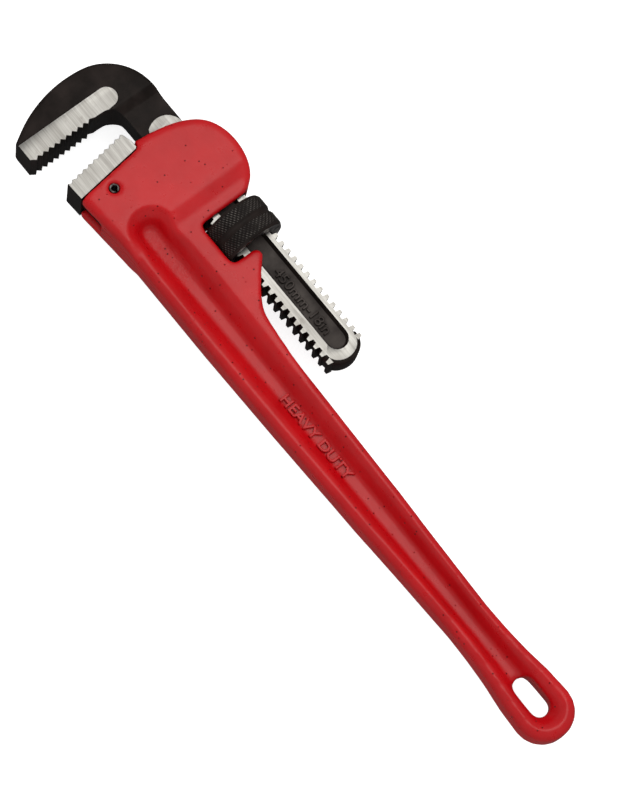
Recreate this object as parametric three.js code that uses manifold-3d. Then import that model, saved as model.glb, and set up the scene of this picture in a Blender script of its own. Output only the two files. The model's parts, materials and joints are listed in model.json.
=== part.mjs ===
// Straight pipe wrench, 450 mm size, lying on its side.
// +X runs along the handle towards the hanging slot, +Y towards the back of the sliding jaw's shank,
// +Z is the upper side. The eight pieces are modelled about the mid-plane z = 0 and the finished group
// is then moved so that its origin is the centre of the bottom of its bounding box. Millimetres.
import * as THREE from "three";
import { mergeVertices } from "three/addons/utils/BufferGeometryUtils.js";
import Module from "manifold-3d";

const wasm = await Module();
wasm.setup();

// ---- driving dimensions ----
const HANDLE_Y = -9.45; // centre line of the handle
const HANDLE_TIP = 203.3; // outer end of the handle
const HEAD_HALF = 13; // half thickness of the housing's head
const FRAME_HALF = 10.2; // half thickness of the frame round the nut
const WEB_HALF = 2.3; // half thickness of the web at the floor of the handle's recesses
const RIM_ROUND = 4.1; // rounding of the handle's outer edges
const SLOT = { x0: 168.3, x1: 190.2, r: 5.5 }; // hanging slot
const SHANK_Y = 28.4; // axis of the shank and of the nut
const SHANK_HALF = 6.7; // half thickness of the ground shank
const NECK_HALF = 7.2; // half thickness of the forged neck
const TOOTH_TIP = 11.4; // rack tooth tips from the axis
const TOOTH_ROOT = 9.0; // rack tooth roots from the axis
const PITCH = 5.0; // thread pitch, right hand
const RACK = { first: -125, last: -10 }; // the rack's first and last teeth
const SHANK_END = -2;
const HOOK_HALF = 10.6; // half thickness of the hook
const HEEL_HALF = 12; // half thickness of the heel jaw
const BITE_X = -175.3; // tips of the hook jaw's teeth
const BITE_PITCH = 3.55; // pitch of the gripping teeth
const BITE_DEPTH = 1.6;
const HEEL_DEPTH = 1.2; // depth of the heel jaw's raked teeth
const NUT = { x0: -96.7, x1: -77.6, r: 18, bore: 13.4, rib: 11.45 };
const WINDOW = { x0: -99.8, x1: -75.2, floor: 12 }; // gap in the frame for the nut
const CHANNEL = { half: 7.6, front: 14.9, pocket: 12.7, back: 41.5 };
const PIN = { x: -140.3, y: -11, r: 2.5, bore: 1.5, slit: 0.8, half: 12.3 };
const TONGUE_HALF = 5.2;
const RIVET = { x: -106, r: 1.5 };
const COIL = { x: -118, r: 2.9, wire: 0.5, y0: 4.5, y1: 12.6, turns: 6 };
const GAP = 0.3; // clearance between pieces that touch

// ---- shared geometry ----

// A closed three.js geometry as a solid that can be joined and cut.
function solid(geometry) {
  const bare = geometry.index ? geometry.toNonIndexed() : geometry.clone();
  bare.deleteAttribute("normal");
  bare.deleteAttribute("uv");
  const merged = mergeVertices(bare, 1e-4);
  const vertProperties = new Float32Array(merged.attributes.position.array);
  const build = (triVerts) => new wasm.Manifold(new wasm.Mesh({ numProp: 3, vertProperties, triVerts }));
  const tri = new Uint32Array(merged.index.array);
  const made = build(tri);
  return made.volume() > 0 ? made : build(tri.slice().reverse());
}

const join = (...parts) => parts.reduce((a, b) => a.add(b));
const cut = (body, ...tools) => tools.reduce((a, b) => a.subtract(b), body);
const v2 = (x, y) => new THREE.Vector2(x, y);
const outline = (...points) => new THREE.Shape(points.map(([x, y]) => v2(x, y)));

// An outline between two heights; round rolls its long edges over.
function plate(shape, z0, z1, round = 0, steps = 2, curveSegments = 8) {
  const geometry = new THREE.ExtrudeGeometry(shape, {
    depth: z1 - z0 - 2 * round,
    bevelEnabled: round > 0,
    bevelThickness: round,
    bevelSize: round,
    bevelOffset: -round,
    bevelSegments: steps,
    curveSegments,
  });
  return solid(geometry.translate(0, 0, z0 + round));
}

// A side profile, drawn as (x, z), between two values of y.
function across(shape, y0, y1) {
  const options = { depth: y1 - y0, bevelEnabled: false, curveSegments: 8 };
  const geometry = new THREE.ExtrudeGeometry(shape, options);
  return solid(geometry.rotateX(Math.PI / 2).translate(0, y1, 0));
}

function box(x0, x1, y0, y1, z0, z1) {
  const geometry = new THREE.BoxGeometry(x1 - x0, y1 - y0, z1 - z0);
  return solid(geometry.translate((x0 + x1) / 2, (y0 + y1) / 2, (z0 + z1) / 2));
}

// A round rod from one point to another along one axis.
function rod(axis, r, a, b, at, segments = 24) {
  const geometry = new THREE.CylinderGeometry(r, r, b - a, segments);
  if (axis === "x") geometry.rotateZ(-Math.PI / 2).translate((a + b) / 2, at[0], at[1]);
  if (axis === "y") geometry.translate(at[0], (a + b) / 2, at[1]);
  if (axis === "z") geometry.rotateX(Math.PI / 2).translate(at[0], at[1], (a + b) / 2);
  return solid(geometry);
}

// A skin through rings of points that all hold the same number of points, closed at both ends.
function skin(rings) {
  const n = rings[0].length;
  const position = rings.flat().flatMap((p) => [p.x, p.y, p.z]);
  const index = [];
  for (let k = 0; k + 1 < rings.length; k++)
    for (let i = 0; i < n; i++) {
      const a = k * n + i;
      const b = k * n + ((i + 1) % n);
      index.push(a, b, b + n, a, b + n, a + n);
    }
  const flat = (ring) => {
    const [o, u] = ring;
    const normal = new THREE.Vector3();
    for (let i = 1; i + 1 < n; i++) normal.add(ring[i].clone().sub(o).cross(ring[i + 1].clone().sub(o)));
    const ex = new THREE.Vector3().subVectors(u, o).normalize();
    const ey = normal.normalize().clone().cross(ex);
    return ring.map((p) => v2(ex.dot(p.clone().sub(o)), ey.dot(p.clone().sub(o))));
  };
  for (const [a, b, c] of THREE.ShapeUtils.triangulateShape(flat(rings[0]), [])) index.push(c, b, a);
  const top = (rings.length - 1) * n;
  for (const [a, b, c] of THREE.ShapeUtils.triangulateShape(flat(rings.at(-1)), []))
    index.push(top + a, top + b, top + c);
  const geometry = new THREE.BufferGeometry();
  geometry.setAttribute("position", new THREE.Float32BufferAttribute(position, 3));
  return solid(geometry.setIndex(index));
}

// A value that runs smoothly through a few stations [x, value].
function along(stations) {
  return (x) => {
    if (x <= stations[0][0]) return stations[0][1];
    for (let i = 0; i + 1 < stations.length; i++) {
      const [x0, a] = stations[i];
      const [x1, b] = stations[i + 1];
      if (x <= x1) {
        const t = (x - x0) / (x1 - x0);
        return a + (b - a) * (0.5 * t + 0.5 * t * t * (3 - 2 * t));
      }
    }
    return stations.at(-1)[1];
  };
}

// A long closed ring about the handle's centre line, with half-round ends at x0 and x1.
function longRing(x0, x1, half, z, steps = 22, ends = 10) {
  const ring = [];
  for (let i = 0; i < ends; i++) {
    const a = -Math.PI / 2 + (Math.PI * i) / ends;
    ring.push([x1, x1 + half(x1) * Math.cos(a), half(x1) * Math.sin(a)]);
  }
  for (let i = 0; i < steps; i++) {
    const x = x1 + ((x0 - x1) * i) / steps;
    ring.push([x, x, half(x)]);
  }
  for (let i = 0; i < ends; i++) {
    const a = Math.PI / 2 + (Math.PI * i) / ends;
    ring.push([x0, x0 + half(x0) * Math.cos(a), half(x0) * Math.sin(a)]);
  }
  for (let i = 0; i < steps; i++) {
    const x = x0 + ((x1 - x0) * i) / steps;
    ring.push([x, x, -half(x)]);
  }
  return ring.map(([station, x, y]) => new THREE.Vector3(x, HANDLE_Y + y, z(station)));
}

// ---- handle_housing: one casting, head, frame round the nut and I-section handle ----
function makeHousing() {
  // Handle: an I-section with rolled edges, wider and thicker towards the head.
  const half = along([
    [-118, 15.8], [-50, 15.9], [0, 15.1], [60, 13.7], [100, 12.2], [138, 11.1], [156, 12.1],
    [174, 14.3], [188.2, 15.1],
  ]);
  const rim = along([[-118, 10.4], [-60, 10.0], [20, 9.4], [190, 9.0]]);
  const rings = [];
  for (const side of [-1, 1])
    for (let k = 0; k <= 3; k++) {
      const a = ((side < 0 ? 3 - k : k) * Math.PI) / 6;
      const inset = RIM_ROUND * (1 - Math.cos(a));
      const drop = RIM_ROUND * (1 - Math.sin(a));
      rings.push(longRing(-118, HANDLE_TIP - 15.1, (x) => half(x) - inset, (x) => side * (rim(x) - drop)));
    }
  const handle = skin(rings);

  // Head: a flat-faced block whose back swells over the shank's channel.
  const headPlan = new THREE.Shape();
  headPlan.moveTo(-160, -28.8);
  headPlan.lineTo(-112, -25.4);
  headPlan.lineTo(-90, -25);
  headPlan.lineTo(-90, 34);
  headPlan.splineThru([
    v2(-104.2, 46.6), v2(-113, 51.9), v2(-124, 53.9), v2(-134.6, 52.4), v2(-143.2, 47.4), v2(-149.2, 38),
    v2(-152.8, 25), v2(-154.3, 12),
  ]);
  headPlan.lineTo(-160, 0);
  const headSide = outline(
    [-170, -HEAD_HALF - 1], [-114.6, -HEAD_HALF - 1], [-114.6, -HEAD_HALF], [-104.6, 0.5 - FRAME_HALF],
    [-104.6, FRAME_HALF - 0.5], [-114.6, HEAD_HALF], [-114.6, HEAD_HALF + 1], [-170, HEAD_HALF + 1],
  );
  const head = plate(headPlan, -HEAD_HALF, HEAD_HALF, 3.8, 4, 5).intersect(across(headSide, -60, 80));

  // Frame round the nut's window, ending in the lip that slopes down to the handle.
  const framePlan = new THREE.Shape();
  framePlan.moveTo(-126, -9);
  framePlan.lineTo(-6, -9);
  framePlan.lineTo(-6, 4.8);
  framePlan.lineTo(-20, 5.7);
  framePlan.splineThru([v2(-36, 7.3), v2(-46, 8.9), v2(-52.6, 12.2), v2(-60, 18), v2(-67.2, 24.5)]);
  framePlan.absarc(WINDOW.x1 + 3.6, 23.7, 3.6, 0.84, Math.PI);
  framePlan.lineTo(WINDOW.x1, WINDOW.floor + 4.4);
  framePlan.quadraticCurveTo(WINDOW.x1, WINDOW.floor, WINDOW.x1 - 4.4, WINDOW.floor);
  framePlan.lineTo(WINDOW.x0 + 4.4, WINDOW.floor);
  framePlan.quadraticCurveTo(WINDOW.x0, WINDOW.floor, WINDOW.x0, WINDOW.floor + 4.4);
  framePlan.lineTo(WINDOW.x0, 38);
  framePlan.quadraticCurveTo(-100.4, 43.6, -107, 48);
  framePlan.lineTo(-118, 46);
  framePlan.lineTo(-126, 30);
  const frameSide = outline(
    [-130, -FRAME_HALF - 1], [-72, -FRAME_HALF - 1], [-72, -FRAME_HALF], [-2, -9.2],
    [-2, 9.2], [-72, FRAME_HALF], [-72, FRAME_HALF + 1], [-130, FRAME_HALF + 1],
  );
  const frame = plate(framePlan, -FRAME_HALF, FRAME_HALF, 2.3, 3, 5).intersect(across(frameSide, -60, 80));

  // Recess on each side of the handle: its walls rise from the flat web and roll over into the rims.
  const floor = along([
    [-112.5, 4.2], [-83, 3.4], [0, 3.0], [60, 3.5], [100, 3.2], [150, 2.7], [187, 3.6],
  ]);
  const reach = along([
    [-112.5, 9.3], [-96, 11.5], [-50, 11.8], [0, 11], [60, 9.6], [100, 8.1], [138, 7], [156, 8], [187, 10.6],
  ]);
  const recess = (side) => {
    const walls = [[0, 0], [0.62, 0.74], [1, 1], [1.35, 1.16], [1.8, 1.75]].map(([out, up]) => {
      const half = (x) => floor(x) + (reach(x) - floor(x)) * out;
      return longRing(-112.5, 187, half, (x) => side * (WEB_HALF + (rim(x) - WEB_HALF) * up), 20);
    });
    return skin(side > 0 ? walls : walls.reverse());
  };

  const slot = new THREE.Shape();
  slot.absarc(SLOT.x1 - SLOT.r, HANDLE_Y, SLOT.r, -Math.PI / 2, Math.PI / 2);
  slot.absarc(SLOT.x0 + SLOT.r, HANDLE_Y, SLOT.r, Math.PI / 2, (3 * Math.PI) / 2);

  // Seat of the heel jaw: everything in front of a line that leans 6.9 degrees.
  const seat = outline(
    [-143.7, -40], [-145.2, -27.5], [-149.9, 11.4], [-153.9, 12.1], [-175, 12.1], [-175, -40],
  );
  const c = CHANNEL;
  return cut(
    join(handle, head, frame),
    recess(1),
    recess(-1),
    plate(slot, -20, 20, 0, 0, 10),
    plate(seat, -20, 20),
    box(-160, -98, c.front, c.back, -c.half, c.half),
    box(-146, -98, c.pocket, c.front + 1, -c.half, c.half),
    box(-80, -40, c.pocket, 60, -c.half, c.half),
    rod("x", NUT.r + 0.6, WINDOW.x0 - 0.1, WINDOW.x1 + 0.1, [SHANK_Y, 0], 48),
    box(-152, -131, -40, 8, -TONGUE_HALF - GAP, TONGUE_HALF + GAP),
    rod("z", PIN.r + GAP, -20, 20, [PIN.x, PIN.y]),
    rod("y", 4.0, 4.0, c.pocket + 1, [COIL.x, 0], 20),
    rod("y", RIVET.r + GAP, 7.2, c.pocket + 1, [RIVET.x, 0], 16),
  );
}

// ---- hook_jaw: forged hook, neck and threaded shank in one ----
function makeHookJaw() {
  const y0 = SHANK_Y - 10.5;
  const y1 = SHANK_Y + TOOTH_TIP;
  const tip = -34.4;

  // Hook in plan, oversize on the biting side and past its tip.
  const plan = new THREE.Shape();
  plan.moveTo(-160, y1);
  plan.lineTo(-168, y1);
  plan.splineThru([
    v2(-176, 39.4), v2(-183.8, 37.3), v2(-190.8, 33), v2(-196.2, 27), v2(-199.8, 19.6),
    v2(-201.3, 10), v2(-201.1, -1), v2(-198.9, -12.4), v2(-194.5, -24), v2(-187, -37),
  ]);
  plan.lineTo(-181, -44);
  plan.lineTo(-165, -44);
  plan.lineTo(-165, 12);
  plan.lineTo(-160, 12);
  // In side view the thick hook blends down to the neck in an S.
  const side = new THREE.Shape();
  side.moveTo(-205, HOOK_HALF);
  side.lineTo(-205, -HOOK_HALF);
  side.lineTo(-175.1, -HOOK_HALF);
  side.bezierCurveTo(-171.8, -HOOK_HALF, -170.6, 0.6 - NECK_HALF, -165, 1.2 - NECK_HALF);
  side.lineTo(-165, NECK_HALF - 1.2);
  side.bezierCurveTo(-170.6, NECK_HALF - 0.6, -171.8, HOOK_HALF, -175.1, HOOK_HALF);
  const neckPlan = outline(
    [-124, y0], [-124, y1], [-174, y1 - 0.2], [-186, 34], [-186, y0], [-170, 12], [-160, y0 - 1],
  );
  const forging = join(
    plate(plan, -HOOK_HALF, HOOK_HALF, 2.2, 3, 4).intersect(across(side, -60, 80)),
    plate(neckPlan, -NECK_HALF, NECK_HALF, 0.9, 2),
  );

  // The mouth: V teeth, a plain stretch, and the round of the throat.
  const mouth = new THREE.Shape();
  const firstTooth = tip + 2.7;
  mouth.moveTo(BITE_X - BITE_DEPTH, tip - 2);
  mouth.lineTo(BITE_X - BITE_DEPTH, tip + 0.4);
  for (let k = 0; k < 10; k++) {
    mouth.lineTo(BITE_X, firstTooth + k * BITE_PITCH);
    mouth.lineTo(BITE_X - BITE_DEPTH, firstTooth + (k + 0.5) * BITE_PITCH);
  }
  mouth.lineTo(BITE_X - 0.6, 4.9);
  mouth.splineThru([v2(-175.8, 9), v2(-175.2, 12.6), v2(-172.9, 15.9), v2(-169, 17.6), v2(-163, y0)]);
  mouth.lineTo(-150, y0);
  mouth.lineTo(-150, -45);
  mouth.lineTo(BITE_X - BITE_DEPTH, -45);

  // Ground land on each side of the hook, beside the teeth.
  const land = new THREE.Shape();
  land.moveTo(-186.4, -40);
  land.lineTo(-170, -40);
  land.lineTo(-175.3, 16.2);
  land.absarc(-180.85, 16.2, 5.55, 0, Math.PI);

  // Shank: core between the rack teeth, and a rolled-over round end.
  const root = TOOTH_ROOT;
  const core = box(-130, SHANK_END - 9.5, SHANK_Y - root, SHANK_Y + root, -SHANK_HALF, SHANK_HALF);
  const nose = new THREE.Shape();
  nose.moveTo(-22, SHANK_Y - root + 0.6);
  nose.lineTo(-14, SHANK_Y - root + 0.6);
  nose.lineTo(-12.6, SHANK_Y - 10.7);
  nose.absellipse(SHANK_END - 9, SHANK_Y, 9, 10.7, -Math.PI / 2, Math.PI / 2);
  nose.lineTo(-12.6, SHANK_Y + 10.7);
  nose.lineTo(-14, SHANK_Y + root - 0.6);
  nose.lineTo(-22, SHANK_Y + root - 0.6);
  // Rack teeth on both edges, half a pitch apart, leaning with the thread's helix.
  const lean = PITCH / (2 * Math.PI) / 12;
  const teeth = [];
  for (const edge of [-1, 1])
    for (let x = RACK.last; x >= RACK.first; x -= PITCH) {
      const mid = edge > 0 ? x : x + PITCH / 2;
      const ring = (z) =>
        [[-1.5, root - 0.4], [1.5, root - 0.4], [0.85, TOOTH_TIP], [-0.85, TOOTH_TIP]]
          .map(([dx, v]) => new THREE.Vector3(mid + dx + edge * lean * z, SHANK_Y + edge * v, z));
      teeth.push(skin([ring(-SHANK_HALF), ring(SHANK_HALF)]));
    }
  const shank = join(core, plate(nose, -SHANK_HALF, SHANK_HALF, 2, 3), ...teeth);

  // Grinding takes the shank down to its flats as far as a round run-out on the neck.
  const ground = new THREE.Shape();
  ground.moveTo(-146.5, 60);
  ground.lineTo(20, 60);
  ground.lineTo(20, 0);
  ground.lineTo(-146.5, 0);
  ground.splineThru([
    v2(-150, 19.5), v2(-155.6, 23), v2(-158.2, 29), v2(-157, 35), v2(-152.6, 38.8), v2(-146.5, 40.2),
  ]);
  // Recessed panel with drafted walls and round ends.
  const panel = (inset, z) => {
    const ring = [];
    const r = 6 - inset;
    for (let i = 0; i <= 10; i++) {
      const a = -Math.PI / 2 + (Math.PI * i) / 10;
      ring.push(new THREE.Vector3(-15.2 + r * Math.cos(a), 29.2 + r * Math.sin(a), z));
    }
    for (let i = 0; i <= 10; i++) {
      const a = Math.PI / 2 + (Math.PI * i) / 10;
      ring.push(new THREE.Vector3(-146.7 + r * Math.cos(a), 29.2 + r * Math.sin(a), z));
    }
    return ring;
  };
  const bottom = 3.9;
  const reach = NECK_HALF + 1;
  return cut(
    join(forging, shank),
    plate(mouth, -20, 20, 0, 0, 3),
    box(-210, -150, -60, tip, -20, 20),
    plate(land, HOOK_HALF - 0.25, 20),
    plate(land, -20, 0.25 - HOOK_HALF),
    plate(ground, SHANK_HALF, 9, 0, 0, 3),
    plate(ground, -9, -SHANK_HALF, 0, 0, 3),
    skin([panel(1.3, bottom), panel(0, SHANK_HALF), panel(0, reach)]),
    skin([panel(0, -reach), panel(0, -SHANK_HALF), panel(1.3, -bottom)]),
  );
}

// ---- heel_jaw: toothed block on the leaning seat, with a tongue in the housing ----
function makeHeelJaw() {
  const [bottomX, bottomY, topX, topY] = [-155.8, -27.9, -160.9, 9.0];
  const length = Math.hypot(topX - bottomX, topY - bottomY);
  const ux = (topX - bottomX) / length;
  const uy = (topY - bottomY) / length;
  const block = new THREE.Shape();
  block.moveTo(-145.2 - GAP, -27.3);
  block.lineTo(-149.9 - GAP, 10.3);
  block.lineTo(-151, 11.3);
  block.lineTo(-154.8, 11.2);
  block.lineTo(topX + 0.9, topY + 0.6);
  const count = Math.floor(length / BITE_PITCH);
  for (let i = count; i > 0; i--) {
    const tip = ((i - 0.1) * length) / count;
    const root = ((i - 0.55) * length) / count;
    block.lineTo(bottomX + ux * tip, bottomY + uy * tip);
    block.lineTo(bottomX + ux * root + uy * HEEL_DEPTH, bottomY + uy * root - ux * HEEL_DEPTH);
  }
  block.lineTo(bottomX, bottomY);
  const tongue = outline([-148, -25], [-131.6, -24], [-131.6, 7.5], [-151, 7.5]);
  return cut(
    join(plate(block, -HEEL_HALF, HEEL_HALF), plate(tongue, -TONGUE_HALF, TONGUE_HALF)),
    rod("z", PIN.r + GAP, -20, 20, [PIN.x, PIN.y]),
  );
}

// ---- heel_jaw_pin: rolled spring pin with its slit ----
function makePin() {
  const shape = new THREE.Shape();
  const a = PIN.slit / 2 / PIN.r;
  const b = PIN.slit / 2 / PIN.bore;
  shape.absarc(0, 0, PIN.r, a, 2 * Math.PI - a, false);
  shape.absarc(0, 0, PIN.bore, 2 * Math.PI - b, b, true);
  return plate(shape, -PIN.half, PIN.half, 0, 0, 18).translate([PIN.x, PIN.y, 0]);
}

// ---- adjusting_nut: knurled ring with a right-hand internal rib ----
function makeNut() {
  const { x0, x1, r, bore, rib } = NUT;
  const mid = (x0 + x1) / 2;
  const profile = [
    [bore, x0], [r - 0.9, x0], [r, x0 + 0.9], [r, mid - 1.3], [r - 0.8, mid - 0.8], [r - 0.8, mid + 0.8],
    [r, mid + 1.3], [r, x1 - 0.9], [r - 0.9, x1], [bore, x1], [bore, x0],
  ].map(([radius, x]) => v2(radius, x));
  const ring = solid(new THREE.LatheGeometry(profile, 48).rotateZ(-Math.PI / 2));
  // The rib is swept past both faces along the helix, then cut off flush with them.
  const rings = [];
  const perTurn = 32;
  const phase = RACK.last + PITCH / 2;
  const start = Math.floor((x0 - phase) / PITCH) - 1;
  const turns = Math.ceil((x1 - x0) / PITCH) + 2;
  for (let i = 0; i <= turns * perTurn; i++) {
    const angle = (2 * Math.PI * i) / perTurn;
    const x = phase + (start + i / perTurn) * PITCH;
    rings.push(
      [[-1.3, bore + 0.5], [1.3, bore + 0.5], [0.75, rib], [-0.75, rib]].map(
        ([dx, radius]) => new THREE.Vector3(x + dx, radius * Math.cos(angle), radius * Math.sin(angle)),
      ),
    );
  }
  const inside = rod("x", bore + 0.6, x0, x1, [0, 0], 48);
  return join(ring, skin(rings).intersect(inside)).translate([0, SHANK_Y, 0]);
}

// ---- flat_spring: leaf that carries and tips the shank ----
function makeLeaf() {
  const leaf = outline([-102.6, 13], [-102.6, 14], [-109, 14], [-141, 16.4], [-141, 15.4], [-109, 13]);
  return cut(plate(leaf, -4.5, 4.5), rod("y", RIVET.r + GAP, 10, 20, [RIVET.x, 0], 16));
}

// ---- flat_spring_rivet: round-headed rivet under the leaf's foot ----
function makeRivet() {
  const y = 14.3;
  const profile = [
    [0, 7.6], [RIVET.r, 7.6], [RIVET.r, y], [2.7, y], [2.4, y + 0.7], [1.4, y + 1.15], [0, y + 1.3],
  ].map(([radius, height]) => v2(radius, height));
  const geometry = new THREE.LatheGeometry(profile, 20);
  return solid(geometry.translate(RIVET.x, 0, 0));
}

// ---- coil_spring: helical spring standing in its pocket under the leaf ----
function makeCoil() {
  const { x, r, wire, y0, y1, turns } = COIL;
  const rings = [];
  const steps = turns * 14;
  for (let i = 0; i <= steps; i++) {
    const angle = (2 * Math.PI * turns * i) / steps;
    rings.push(
      [0, 1, 2, 3, 4, 5].map((k) => {
        const t = (2 * Math.PI * k) / 6;
        const reach = r + wire * Math.cos(t);
        const height = y0 + ((y1 - y0) * i) / steps + wire * Math.sin(t);
        return new THREE.Vector3(x + reach * Math.cos(angle), height, reach * Math.sin(angle));
      }),
    );
  }
  return skin(rings);
}

// ---- assembly ----
const red = { color: 0xb01018, roughness: 0.42, metalness: 0 };
const oxide = { color: 0x2a2624, roughness: 0.5, metalness: 0.8 };
const bright = { color: 0xc9c4bb, roughness: 0.35, metalness: 1 };
const dull = { color: 0x6b6660, roughness: 0.45, metalness: 1 };

function piece(name, body, look) {
  const data = body.getMesh();
  const geometry = new THREE.BufferGeometry();
  geometry.setAttribute("position", new THREE.BufferAttribute(new Float32Array(data.vertProperties), 3));
  geometry.setIndex(new THREE.BufferAttribute(new Uint32Array(data.triVerts), 1));
  geometry.computeVertexNormals();
  const mesh = new THREE.Mesh(geometry, new THREE.MeshStandardMaterial({ ...look, flatShading: true }));
  mesh.name = name;
  return mesh;
}

const wrench = new THREE.Group();
wrench.add(
  piece("handle_housing", makeHousing(), red),
  piece("hook_jaw", makeHookJaw(), oxide),
  piece("heel_jaw", makeHeelJaw(), bright),
  piece("heel_jaw_pin", makePin(), bright),
  piece("adjusting_nut", makeNut(), oxide),
  piece("flat_spring", makeLeaf(), dull),
  piece("flat_spring_rivet", makeRivet(), dull),
  piece("coil_spring", makeCoil(), dull),
);
const bounds = new THREE.Box3().setFromObject(wrench);
const centre = bounds.getCenter(new THREE.Vector3());
wrench.position.set(-centre.x, -centre.y, -bounds.min.z);

export default wrench;
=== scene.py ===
import json
import math

import bmesh
import bpy
from mathutils import Matrix, Vector


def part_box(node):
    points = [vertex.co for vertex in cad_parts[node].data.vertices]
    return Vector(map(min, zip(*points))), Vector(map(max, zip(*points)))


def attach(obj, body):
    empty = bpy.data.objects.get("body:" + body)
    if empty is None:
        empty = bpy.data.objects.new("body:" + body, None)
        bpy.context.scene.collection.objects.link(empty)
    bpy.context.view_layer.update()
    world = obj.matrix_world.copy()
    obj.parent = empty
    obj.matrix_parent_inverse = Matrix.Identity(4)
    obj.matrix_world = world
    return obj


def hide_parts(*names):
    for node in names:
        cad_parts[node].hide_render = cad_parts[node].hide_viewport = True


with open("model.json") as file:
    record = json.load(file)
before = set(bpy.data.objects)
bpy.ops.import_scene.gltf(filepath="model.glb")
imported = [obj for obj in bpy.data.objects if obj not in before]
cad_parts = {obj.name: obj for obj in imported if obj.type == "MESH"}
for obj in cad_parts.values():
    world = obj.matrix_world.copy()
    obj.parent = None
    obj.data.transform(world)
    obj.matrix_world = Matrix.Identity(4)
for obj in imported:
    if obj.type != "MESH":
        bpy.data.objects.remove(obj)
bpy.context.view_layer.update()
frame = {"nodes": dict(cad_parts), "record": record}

# ---------------------------------------------------------------------------------------------
# Handle and housing. One malleable iron casting: the head that guides the shank, the frame round
# the nut, and the I-section handle with its hanging slot. It is fettled at the edges, then
# sprayed with red enamel that leaves the sand's grain, pits and a little orange peel showing.
# ---------------------------------------------------------------------------------------------
CASTING_VOXEL = 0.0009
CASTING_SOFTENING = 13
CORE_MARK_FROM = -0.074
ENAMEL_RED = (0.46, 0.0012, 0.0042, 1)
ENAMEL_DEEP = (0.40, 0.0010, 0.0036, 1)
# Colour of the painted shade inside the enamel's pits.
PIT_SHADE_DARK = (0.05, 0.004, 0.004, 1)
WEB_HALF = 0.0023
openings = {gap["name"]: gap["box_m"] for gap in frame["record"]["physics"]["openings"]}
HANDLE_LINE_Y = (openings["hanging_slot"][0][1] + openings["hanging_slot"][1][1]) / 2
nut_low, nut_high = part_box("adjusting_nut")
MID_Z = (nut_low[2] + nut_high[2]) / 2


def joined_copy(node, name):
    """A copy of a CAD node with its loose triangles joined and its flat faces made whole."""
    mesh = frame["nodes"][node].data.copy()
    mesh.name = name
    bm = bmesh.new()
    bm.from_mesh(mesh)
    bmesh.ops.remove_doubles(bm, verts=bm.verts[:], dist=2e-6)
    bmesh.ops.dissolve_limit(
        bm, angle_limit=math.radians(0.4), verts=bm.verts[:], edges=bm.edges[:]
    )
    bm.to_mesh(mesh)
    bm.free()
    piece = bpy.data.objects.new(name, mesh)
    bpy.context.scene.collection.objects.link(piece)
    mesh.materials.clear()
    return piece


def new_material(name):
    """An empty node material: its tree, its shader, and the piece's own coordinates."""
    material = bpy.data.materials.new(name)
    material.use_nodes = True
    tree = material.node_tree
    shader = tree.nodes["Principled BSDF"]
    coords = tree.nodes.new("ShaderNodeTexCoord").outputs["Object"]
    return material, tree, shader, coords


def noise(tree, coords, scale, detail=4.0, roughness=0.55, stretch=None):
    """Noise at a scale in cells per metre, drawn out along an axis where stretch asks for it."""
    if stretch:
        mapping = tree.nodes.new("ShaderNodeMapping")
        mapping.inputs["Scale"].default_value = stretch
        tree.links.new(coords, mapping.inputs["Vector"])
        coords = mapping.outputs["Vector"]
    node = tree.nodes.new("ShaderNodeTexNoise")
    node.inputs["Scale"].default_value = scale
    node.inputs["Detail"].default_value = detail
    node.inputs["Roughness"].default_value = roughness
    tree.links.new(coords, node.inputs["Vector"])
    return node.outputs["Fac"]


def spread(tree, value, low, high, to_low=0.0, to_high=1.0):
    """Stretches the span from low to high over the span from to_low to to_high."""
    node = tree.nodes.new("ShaderNodeMapRange")
    for socket, number in (
        ("From Min", low), ("From Max", high), ("To Min", to_low), ("To Max", to_high),
    ):
        node.inputs[socket].default_value = number
    tree.links.new(value, node.inputs["Value"])
    return node.outputs["Result"]


def math_node(tree, operation, a, b=None):
    """One sum on numbers or sockets."""
    node = tree.nodes.new("ShaderNodeMath")
    node.operation = operation
    for socket, value in zip(node.inputs, (a, b)):
        if isinstance(value, (int, float)):
            socket.default_value = value
        elif value is not None:
            tree.links.new(value, socket)
    return node.outputs["Value"]


def blend_colours(tree, factor, first, second):
    """A colour that runs from first to second; each is a colour or a socket."""
    node = tree.nodes.new("ShaderNodeMix")
    node.data_type = "RGBA"
    tree.links.new(factor, node.inputs["Factor"])
    for socket, colour in ((node.inputs[6], first), (node.inputs[7], second)):
        if isinstance(colour, tuple):
            socket.default_value = colour
        else:
            tree.links.new(colour, socket)
    return node.outputs[2]


def bump(tree, height, depth, under=None):
    """A bump of a real depth in metres, laid over the bump under it."""
    node = tree.nodes.new("ShaderNodeBump")
    node.inputs["Strength"].default_value = 1.0
    node.inputs["Distance"].default_value = depth
    tree.links.new(height, node.inputs["Height"])
    if under is not None:
        tree.links.new(under, node.inputs["Normal"])
    return node.outputs["Normal"]


enamel, tree, shader, coords = new_material("red_enamel_on_casting")
patches = noise(tree, coords, 45, 3)
tint = blend_colours(tree, spread(tree, patches, 0.35, 0.65), ENAMEL_DEEP, ENAMEL_RED)
# Pinholes of the sand mould are small pits, in a little under half of the cells, darkened with painted
# shade.
cells = tree.nodes.new("ShaderNodeTexVoronoi")
cells.inputs["Scale"].default_value = 300
tree.links.new(coords, cells.inputs["Vector"])
chance = tree.nodes.new("ShaderNodeSeparateColor")
tree.links.new(cells.outputs["Color"], chance.inputs["Color"])
pits_and_painted_shade = math_node(
    tree, "MULTIPLY",
    spread(tree, cells.outputs["Distance"], 0.07, 0.14, 1.0, 0.0),
    spread(tree, chance.outputs["Red"], 0.54, 0.56),
)
# Painted shade: the pits are darkened towards this colour.
tint = blend_colours(tree, math_node(tree, "MULTIPLY", pits_and_painted_shade, 0.9), tint, PIT_SHADE_DARK)
tree.links.new(tint, shader.inputs["Base Color"])
peel = noise(tree, coords, 520, 3)
grain = noise(tree, coords, 190, 5, 0.6)
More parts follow.
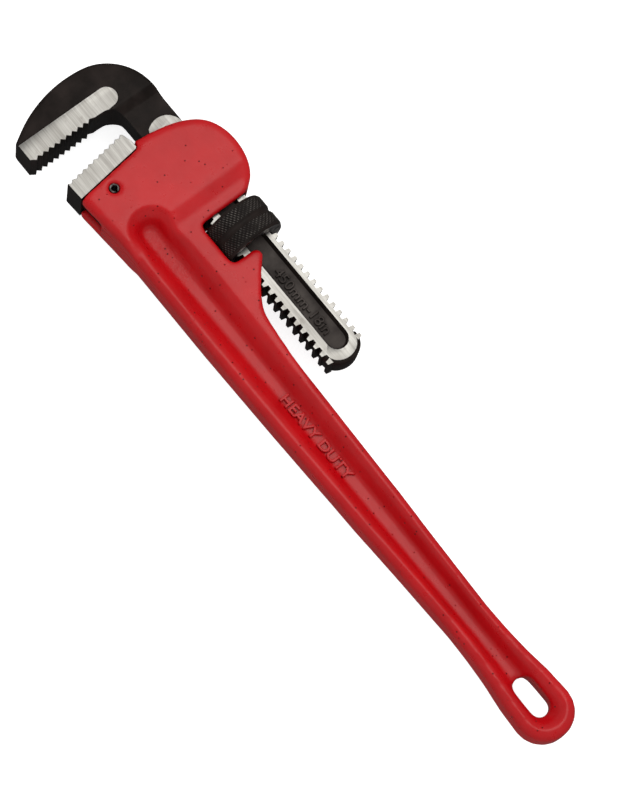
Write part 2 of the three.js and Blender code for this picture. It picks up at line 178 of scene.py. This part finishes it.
# The web's floor near the head is left rougher by the sand core.
place = tree.nodes.new("ShaderNodeSeparateXYZ")
tree.links.new(coords, place.inputs["Vector"])
by_length = spread(tree, place.outputs["X"], CORE_MARK_FROM, CORE_MARK_FROM - 0.012)
by_depth = spread(
    tree, math_node(tree, "ABSOLUTE", math_node(tree, "SUBTRACT", place.outputs["Z"], MID_Z)),
    WEB_HALF + 0.0006, WEB_HALF + 0.0022, 1.0, 0.0,
)
core_mark = math_node(tree, "MULTIPLY", by_length, by_depth)
core_grain = math_node(tree, "MULTIPLY", noise(tree, coords, 330, 4, 0.7), core_mark)
relief = bump(tree, grain, 0.00016)
relief = bump(tree, peel, 0.00003, relief)
relief = bump(tree, core_grain, 0.0005, relief)
relief = bump(tree, math_node(tree, "SUBTRACT", 1.0, pits_and_painted_shade), 0.0004, relief)
tree.links.new(relief, shader.inputs["Normal"])
tree.links.new(spread(tree, grain, 0.3, 0.7, 0.26, 0.36), shader.inputs["Roughness"])
shader.inputs["Coat Weight"].default_value = 0.1
shader.inputs["Coat Roughness"].default_value = 0.2

casting = joined_copy("handle_housing", "handle_casting")
casting.data.materials.append(enamel)
remesh = casting.modifiers.new("cast_skin", "REMESH")
remesh.mode = "VOXEL"
remesh.voxel_size = CASTING_VOXEL
remesh.use_smooth_shade = True
soften = casting.modifiers.new("cast_edges", "SMOOTH")
soften.factor = 0.5
soften.iterations = CASTING_SOFTENING
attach(casting, "handle")
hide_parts("handle_housing")

# ---------------------------------------------------------------------------------------------
# Raised lettering on the handle's web. It is cast with the handle, so it has soft shoulders and
# wears the same enamel. It is a plain duty mark on both sides of the web.
# ---------------------------------------------------------------------------------------------
WEB_MARK = "HEAVY DUTY"
WEB_MARK_SPAN = (-0.0095, 0.0425)
WEB_MARK_Y = HANDLE_LINE_Y - 0.0003
WEB_MARK_TALL = 0.0057
MARK_SUNK = 0.0003
FONT_CAP_HEIGHT = 0.73


def raised_mark(name, words, x_span, y, tall, foot, rise, soft, under=False):
    """Letters that stand up from a flat foot metres off the mid-plane, with shoulders soft wide."""
    scale = tall / FONT_CAP_HEIGHT
    curve = bpy.data.curves.new(name, "FONT")
    curve.body = words
    curve.align_x = "CENTER"
    curve.align_y = "CENTER"
    curve.extrude = ((rise + MARK_SUNK) / 2 - soft) / scale
    curve.bevel_depth = soft / scale
    curve.bevel_resolution = 1
    text = bpy.data.objects.new(name + "_curve", curve)
    bpy.context.scene.collection.objects.link(text)
    bpy.context.view_layer.update()
    flat = bpy.data.meshes.new_from_object(text.evaluated_get(bpy.context.evaluated_depsgraph_get()))
    flat.name = name
    bpy.data.objects.remove(text)
    bpy.data.curves.remove(curve)
    xs = [v.co.x for v in flat.vertices]
    ys = [v.co.y for v in flat.vertices]
    width, height = max(xs) - min(xs), max(ys) - min(ys)
    middle = Vector(((max(xs) + min(xs)) / 2, (max(ys) + min(ys)) / 2, 0))
    size = Matrix.Diagonal(((x_span[1] - x_span[0]) / width, tall / height, scale, 1))
    place = Matrix.Translation(
        ((x_span[0] + x_span[1]) / 2, y, MID_Z + foot + (rise - MARK_SUNK) / 2)
    )
    flat.transform(place @ size @ Matrix.Translation(-middle))
    if under:
        turn = Matrix.Translation((0, y, MID_Z)) @ Matrix.Rotation(math.pi, 4, "X")
        flat.transform(turn @ Matrix.Translation((0, -y, -MID_Z)))
    bm = bmesh.new()
    bm.from_mesh(flat)
    bmesh.ops.remove_doubles(bm, verts=bm.verts[:], dist=1e-6)
    bmesh.ops.recalc_face_normals(bm, faces=bm.faces[:])
    bm.to_mesh(flat)
    bm.free()
    flat.shade_smooth()
    flat.set_sharp_from_angle(angle=math.radians(50))
    piece = bpy.data.objects.new(name, flat)
    bpy.context.scene.collection.objects.link(piece)
    return piece


for name, under in (("web_lettering_upper", False), ("web_lettering_lower", True)):
    mark = raised_mark(
        name, WEB_MARK, WEB_MARK_SPAN, WEB_MARK_Y, WEB_MARK_TALL, WEB_HALF, 0.0015, 0.00028, under
    )
    mark.data.materials.append(enamel)
    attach(mark, "handle")

# ---------------------------------------------------------------------------------------------
# Hook jaw. A drop forging in tool steel, hook, neck and threaded shank in one. It is blackened all
# over, then the sides of the bite and the flats of the shank are ground bright; the recessed
# panel of the shank keeps its black skin, rubbed to a warm grey.
# ---------------------------------------------------------------------------------------------
FACES_Z = 0.99
SAME_HEIGHT = 5e-5
LAND_DEPTH = 0.00025
HOOK_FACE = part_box("hook_jaw")[1][2] - MID_Z - LAND_DEPTH
SHANK_FLAT = 0.0067
PANEL_FLOOR = 0.0039
OXIDE_DARK = (0.0085, 0.0058, 0.0048, 1)
OXIDE_WARM = (0.021, 0.0145, 0.0125, 1)
OXIDE_WORN = (0.072, 0.060, 0.053, 1)
STEEL_PALE = (0.88, 0.87, 0.835, 1)
STEEL_GREY = (0.64, 0.62, 0.585, 1)
STEEL_STAIN = (0.38, 0.34, 0.30, 1)

def black_oxide(name, dark, warm, specular):
    """Blackened steel, a little cloudy and grained, that rubs to a warm grey."""
    material, tree, shader, coords = new_material(name)
    cloud = noise(tree, coords, 70, 4)
    tint = blend_colours(tree, spread(tree, cloud, 0.35, 0.68), dark, warm)
    tree.links.new(tint, shader.inputs["Base Color"])
    shader.inputs["Specular IOR Level"].default_value = specular
    tree.links.new(spread(tree, cloud, 0.3, 0.7, 0.42, 0.56), shader.inputs["Roughness"])
    relief = bump(tree, noise(tree, coords, 260, 4, 0.6), 0.00012)
    relief = bump(tree, noise(tree, coords, 900, 2), 0.00003, relief)
    tree.links.new(relief, shader.inputs["Normal"])
    return material


oxide = black_oxide("black_oxide_forging", OXIDE_DARK, OXIDE_WARM, 0.19)
rubbed_oxide = black_oxide("rubbed_black_oxide", OXIDE_WARM, OXIDE_WORN, 0.3)


def ground_steel(name, stretch):
    """Bright ground steel whose wheel marks run along the axis that stretch leaves coarse."""
    material, tree, shader, coords = new_material(name)
    marks = noise(tree, coords, 1.0, 3, 0.6, stretch)
    broad = noise(tree, coords, 1.0, 2, 0.5, tuple(s * 0.22 for s in stretch))
    mixed = math_node(
        tree, "ADD", math_node(tree, "MULTIPLY", marks, 0.6), math_node(tree, "MULTIPLY", broad, 0.4)
    )
    tint = blend_colours(tree, spread(tree, mixed, 0.36, 0.62), STEEL_GREY, STEEL_PALE)
    stain = spread(tree, noise(tree, coords, 150, 4), 0.60, 0.75)
    tint = blend_colours(tree, math_node(tree, "MULTIPLY", stain, 0.4), tint, STEEL_STAIN)
    tree.links.new(tint, shader.inputs["Base Color"])
    shader.inputs["Metallic"].default_value = 1.0
    tree.links.new(spread(tree, mixed, 0.3, 0.7, 0.40, 0.30), shader.inputs["Roughness"])
    tree.links.new(bump(tree, marks, 0.00002), shader.inputs["Normal"])
    return material


ground_across = ground_steel("ground_steel_across", (60, 1500, 60))
ground_along = ground_steel("ground_steel_along", (60, 1100, 60))


def edge_finish(piece, width, segments=2, angle=32):
    """Breaks the sharp edges by a width in metres and shades the rest smoothly."""
    piece.data.shade_smooth()
    piece.data.set_sharp_from_angle(angle=math.radians(angle))
    broken = piece.modifiers.new("broken_edges", "BEVEL")
    broken.width = width
    broken.segments = segments
    broken.limit_method = "ANGLE"
    broken.angle_limit = math.radians(angle)
    broken.use_clamp_overlap = True


hook = joined_copy("hook_jaw", "hook_jaw_forging")
hook.data.materials.append(oxide)
hook.data.materials.append(ground_across)
hook.data.materials.append(ground_along)
hook.data.materials.append(rubbed_oxide)
for face in hook.data.polygons:
    height = abs(face.center.z - MID_Z)
    if abs(face.normal.z) > FACES_Z:
        for slot, flat in ((1, HOOK_FACE), (2, SHANK_FLAT), (3, PANEL_FLOOR)):
            if abs(height - flat) < SAME_HEIGHT:
                face.material_index = slot
edge_finish(hook, 0.00022)
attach(hook, "jaw")
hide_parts("hook_jaw")

# ---------------------------------------------------------------------------------------------
# Size mark. Raised figures forged on the floor of the shank's recessed panel: the wrench's length
# in millimetres and in inches. Their tops are rubbed like the panel and their sides stay black.
# ---------------------------------------------------------------------------------------------
size_mark = raised_mark(
    "shank_size_mark", "450mm-18in", (-0.0618, -0.0209), 0.0187, 0.0056, PANEL_FLOOR, 0.0011, 0.00018
)
size_mark.data.materials.append(oxide)
size_mark.data.materials.append(rubbed_oxide)
for face in size_mark.data.polygons:
    if face.normal.z > 0.95:
        face.material_index = 1
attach(size_mark, "jaw")

# ---------------------------------------------------------------------------------------------
# Heel jaw. A toothed block of tool steel on the head's leaning seat, held by its tongue and a pin.
# It is hardened and blackened, then its two sides are ground bright.
# ---------------------------------------------------------------------------------------------
HEEL_SIDE_FROM = 0.011

heel = joined_copy("heel_jaw", "heel_jaw_block")
heel.data.materials.append(oxide)
heel.data.materials.append(ground_across)
for face in heel.data.polygons:
    if abs(face.normal.z) > FACES_Z and abs(face.center.z - MID_Z) > HEEL_SIDE_FROM:
        face.material_index = 1
edge_finish(heel, 0.0002)
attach(heel, "handle")
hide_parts("heel_jaw")

# ---------------------------------------------------------------------------------------------
# Heel jaw pin. A spring pin rolled from strip with a slit down one side, driven through both
# cheeks of the head and the jaw's tongue. It has worn dark, with paler rubbed patches.
# ---------------------------------------------------------------------------------------------
WORN_DARK = (0.05, 0.045, 0.042, 1)
WORN_PALE = (0.34, 0.31, 0.30, 1)

worn_steel, tree, shader, coords = new_material("worn_dark_steel")
wear = noise(tree, coords, 400, 4)
tint = blend_colours(tree, spread(tree, wear, 0.4, 0.62), WORN_DARK, WORN_PALE)
tree.links.new(tint, shader.inputs["Base Color"])
shader.inputs["Metallic"].default_value = 0.9
tree.links.new(spread(tree, wear, 0.3, 0.7, 0.46, 0.30), shader.inputs["Roughness"])
tree.links.new(bump(tree, wear, 0.00004), shader.inputs["Normal"])
pin = joined_copy("heel_jaw_pin", "heel_jaw_spring_pin")
pin.data.materials.append(worn_steel)
edge_finish(pin, 0.00035, 3)
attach(pin, "handle")
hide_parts("heel_jaw_pin")

# ---------------------------------------------------------------------------------------------
# Adjusting nut. Turned from bar, threaded, knurled in two bands with a plain groove between them,
# and blackened. Its end faces have worn where they bear on the frame. The knurl's points are paler,
# partly from wear and partly as a painted highlight.
# ---------------------------------------------------------------------------------------------
NUT_AXIS_Y = (nut_low[1] + nut_high[1]) / 2
NUT_RADIUS = (nut_high[2] - nut_low[2]) / 2
NUT_BODY_RADIUS = NUT_RADIUS - 0.0004
NUT_MIDDLE = (nut_low[0] + nut_high[0]) / 2
KNURL_BANDS = (
    (nut_low[0] + 0.0008, NUT_MIDDLE - 0.0012),
    (NUT_MIDDLE + 0.0012, nut_high[0] - 0.0008),
)
KNURL_STARTS = 84
KNURL_LEAN = 0.62
KNURL_DEPTH = 0.00042
KNURL_EDGE_DROP = 0.00045
KNURL_EDGE_WIDTH = 0.0007
KNURL_SLEEVE = 0.0004
# Colour of the knurl's points: worn steel, and a painted highlight as well.
KNURL_WEAR_AND_HIGHLIGHT = (0.22, 0.20, 0.185, 1)
NUT_END_FROM = NUT_RADIUS - 0.0015

nut = joined_copy("adjusting_nut", "adjusting_nut_body")
nut.data.materials.append(oxide)
nut.data.materials.append(worn_steel)
for face in nut.data.polygons:
    if abs(face.normal.x) > FACES_Z:
        corners = [nut.data.vertices[i].co for i in face.vertices]
        if max(math.hypot(co.y - NUT_AXIS_Y, co.z - MID_Z) for co in corners) > NUT_END_FROM:
            face.material_index = 1
for vertex in nut.data.vertices:
    out = Vector((0, vertex.co.y - NUT_AXIS_Y, vertex.co.z - MID_Z))
    if out.length > NUT_BODY_RADIUS:
        out *= NUT_BODY_RADIUS / out.length
        vertex.co = Vector((vertex.co.x, NUT_AXIS_Y + out.y, MID_Z + out.z))
edge_finish(nut, 0.0002)
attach(nut, "nut")
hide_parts("adjusting_nut")


def knurl_band(name, x0, x1):
    """A sleeve rolled with fine crossing ridges, standing just proud of the nut's body."""
    steps_round, steps_along = 480, 22
    bm = bmesh.new()
    bmesh.ops.create_cone(
        bm, cap_ends=False, segments=steps_round, radius1=NUT_RADIUS, radius2=NUT_RADIUS, depth=x1 - x0
    )
    along = [e for e in bm.edges if abs(e.verts[0].co.z - e.verts[1].co.z) > (x1 - x0) / 2]
    bmesh.ops.subdivide_edges(bm, edges=along, cuts=steps_along - 1, use_grid_fill=True)
    for vertex in bm.verts:
        angle = math.atan2(vertex.co.y, vertex.co.x)
        turn = KNURL_STARTS * angle
        slide = vertex.co.z / NUT_RADIUS * KNURL_STARTS * KNURL_LEAN
        ridge = 0.5 + 0.5 * math.cos(turn + slide)
        crossing = 0.5 + 0.5 * math.cos(0.5 * turn - 0.9 * slide)
        edge = max(0.0, min(1.0, ((x1 - x0) / 2 - abs(vertex.co.z)) / KNURL_EDGE_WIDTH))
        lift = KNURL_DEPTH * (0.65 * ridge + 0.35 * crossing) * edge
        radius = NUT_RADIUS - KNURL_EDGE_DROP * (1 - edge) - KNURL_DEPTH + lift
        vertex.co.x, vertex.co.y = radius * math.cos(angle), radius * math.sin(angle)
    bmesh.ops.solidify(bm, geom=bm.faces[:], thickness=KNURL_SLEEVE)
    bmesh.ops.rotate(bm, verts=bm.verts[:], matrix=Matrix.Rotation(math.pi / 2, 3, "Y"))
    bmesh.ops.translate(bm, verts=bm.verts[:], vec=((x0 + x1) / 2, NUT_AXIS_Y, MID_Z))
    bmesh.ops.recalc_face_normals(bm, faces=bm.faces[:])
    mesh = bpy.data.meshes.new(name)
    bm.to_mesh(mesh)
    bm.free()
    mesh.shade_smooth()
    piece = bpy.data.objects.new(name, mesh)
    bpy.context.scene.collection.objects.link(piece)
    return piece


knurled, tree, shader, coords = new_material("knurled_black_oxide")
place = tree.nodes.new("ShaderNodeSeparateXYZ")
tree.links.new(coords, place.inputs["Vector"])
offsets = [
    math_node(tree, "SUBTRACT", place.outputs[axis], middle)
    for axis, middle in (("Y", NUT_AXIS_Y), ("Z", MID_Z))
]
radius = math_node(
    tree, "SQRT",
    math_node(tree, "ADD", *(math_node(tree, "MULTIPLY", offset, offset) for offset in offsets)),
)
# The points of the knurl are painted paler and metallic, more in some places than in others: partly
# rubbed wear, partly a painted highlight.
knurl_wear_and_highlight = math_node(
    tree, "MULTIPLY",
    spread(tree, radius, NUT_RADIUS - 0.00016, NUT_RADIUS - 0.00002),
    spread(tree, noise(tree, coords, 160, 3), 0.42, 0.62, 0.15, 1.0),
)
tree.links.new(blend_colours(tree, knurl_wear_and_highlight, OXIDE_DARK, KNURL_WEAR_AND_HIGHLIGHT), shader.inputs["Base Color"])
tree.links.new(knurl_wear_and_highlight, shader.inputs["Metallic"])
shader.inputs["Roughness"].default_value = 0.42
shader.inputs["Specular IOR Level"].default_value = 0.25

for name, (x0, x1) in zip(("nut_knurl_front", "nut_knurl_rear"), KNURL_BANDS):
    band = knurl_band(name, x0, x1)
    band.data.materials.append(knurled)
    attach(band, "nut")

# ---------------------------------------------------------------------------------------------
# Springs. The leaf, its rivet and the coil under it press the shank back against the housing.
# They are blued spring steel, hidden in the head except through the nut's window.
# ---------------------------------------------------------------------------------------------
BLUED_DARK = (0.055, 0.06, 0.075, 1)
BLUED_PALE = (0.16, 0.15, 0.14, 1)

blued, tree, shader, coords = new_material("blued_spring_steel")
haze = noise(tree, coords, 220, 4)
tint = blend_colours(tree, spread(tree, haze, 0.35, 0.65), BLUED_DARK, BLUED_PALE)
tree.links.new(tint, shader.inputs["Base Color"])
shader.inputs["Metallic"].default_value = 0.9
tree.links.new(spread(tree, haze, 0.3, 0.7, 0.32, 0.46), shader.inputs["Roughness"])
tree.links.new(bump(tree, noise(tree, coords, 900, 2), 0.00002), shader.inputs["Normal"])
for node in ("flat_spring", "flat_spring_rivet", "coil_spring"):
    spring = frame["nodes"][node]
    spring.data.materials.clear()
    spring.data.materials.append(blued)

# ---------------------------------------------------------------------------------------------
# Studio. A pale floor under the wrench, even light from all round, one softbox overhead that the
# gloss mirrors, one from the shank's side that it does not, and a camera that looks steeply down.
# ---------------------------------------------------------------------------------------------
LOOK_AT = Vector((-0.000932, -0.009752, 0.0180))
CAMERA_FROM = Vector((0.2035, -0.3539, 1.2868))
PICTURE_UP = Vector((-0.76195, 0.58352, 0.28095))
LENS = 124.5
PAPER_BURN = 0.8
LAMP_COLOUR = (1.0, 0.975, 0.93)
ROOM_LIGHT = 0.92
ROOM_IN_GLOSS = 0.10

floor_mesh = bpy.data.meshes.new("studio_floor")
bm = bmesh.new()
bmesh.ops.create_grid(bm, x_segments=1, y_segments=1, size=6)
bm.to_mesh(floor_mesh)
bm.free()
floor = bpy.data.objects.new("studio_floor", floor_mesh)
bpy.context.scene.collection.objects.link(floor)
paper, tree, shader, coords = new_material("pale_paper")
shader.inputs["Base Color"].default_value = (0.6, 0.6, 0.6, 1)
shader.inputs["Roughness"].default_value = 0.9
shader.inputs["Specular IOR Level"].default_value = 0.1
# The camera sees the paper burnt out, as in a catalogue picture; the wrench is lit by it as it is.
burnt = tree.nodes.new("ShaderNodeLightPath").outputs["Is Camera Ray"]
tree.links.new(math_node(tree, "MULTIPLY", burnt, PAPER_BURN), shader.inputs["Emission Strength"])
shader.inputs["Emission Color"].default_value = (1, 1, 1, 1)
floor_mesh.materials.append(paper)
floor.visible_glossy = False

for name, place, size, watts, mirrored in (
    ("overhead_softbox", (-0.22, 0.46, 1.95), (1.25, 1.2), 5.6, True),
    ("side_light", (-0.30, 0.90, 1.40), (1.2, 1.2), 8.5, False),
):
    light = bpy.data.lights.new(name, "AREA")
    light.shape = "RECTANGLE"
    light.size, light.size_y = size
    light.energy = watts
    light.color = LAMP_COLOUR
    lamp = bpy.data.objects.new(name, light)
    lamp.location = place
    lamp.rotation_euler = (LOOK_AT - Vector(place)).to_track_quat("-Z", "Y").to_euler()
    lamp.visible_glossy = mirrored
    bpy.context.scene.collection.objects.link(lamp)

# The room is bright to the paint's body colour and dim in its gloss, as with dark flags set round it.
world = bpy.data.worlds.new("studio_air")
world.use_nodes = True
air = world.node_tree
in_gloss = air.nodes.new("ShaderNodeLightPath").outputs["Is Glossy Ray"]
air.nodes["Background"].inputs["Color"].default_value = (1, 1, 1, 1)
strength = spread(air, in_gloss, 0.0, 1.0, ROOM_LIGHT, ROOM_IN_GLOSS)
air.links.new(strength, air.nodes["Background"].inputs["Strength"])
bpy.context.scene.world = world
bpy.context.scene.view_settings.view_transform = "Standard"

camera = bpy.data.objects.new("studio_camera", bpy.data.cameras.new("studio_camera"))
bpy.context.scene.collection.objects.link(camera)
camera.data.lens = LENS
camera.data.sensor_width = 36
camera.data.clip_start = 0.01
camera.data.clip_end = 50
back = CAMERA_FROM.normalized()
right = PICTURE_UP.cross(back).normalized()
up = back.cross(right)
turned = Matrix((right, up, back)).transposed().to_4x4()
camera.matrix_world = Matrix.Translation(LOOK_AT + CAMERA_FROM) @ turned
bpy.context.scene.camera = camera
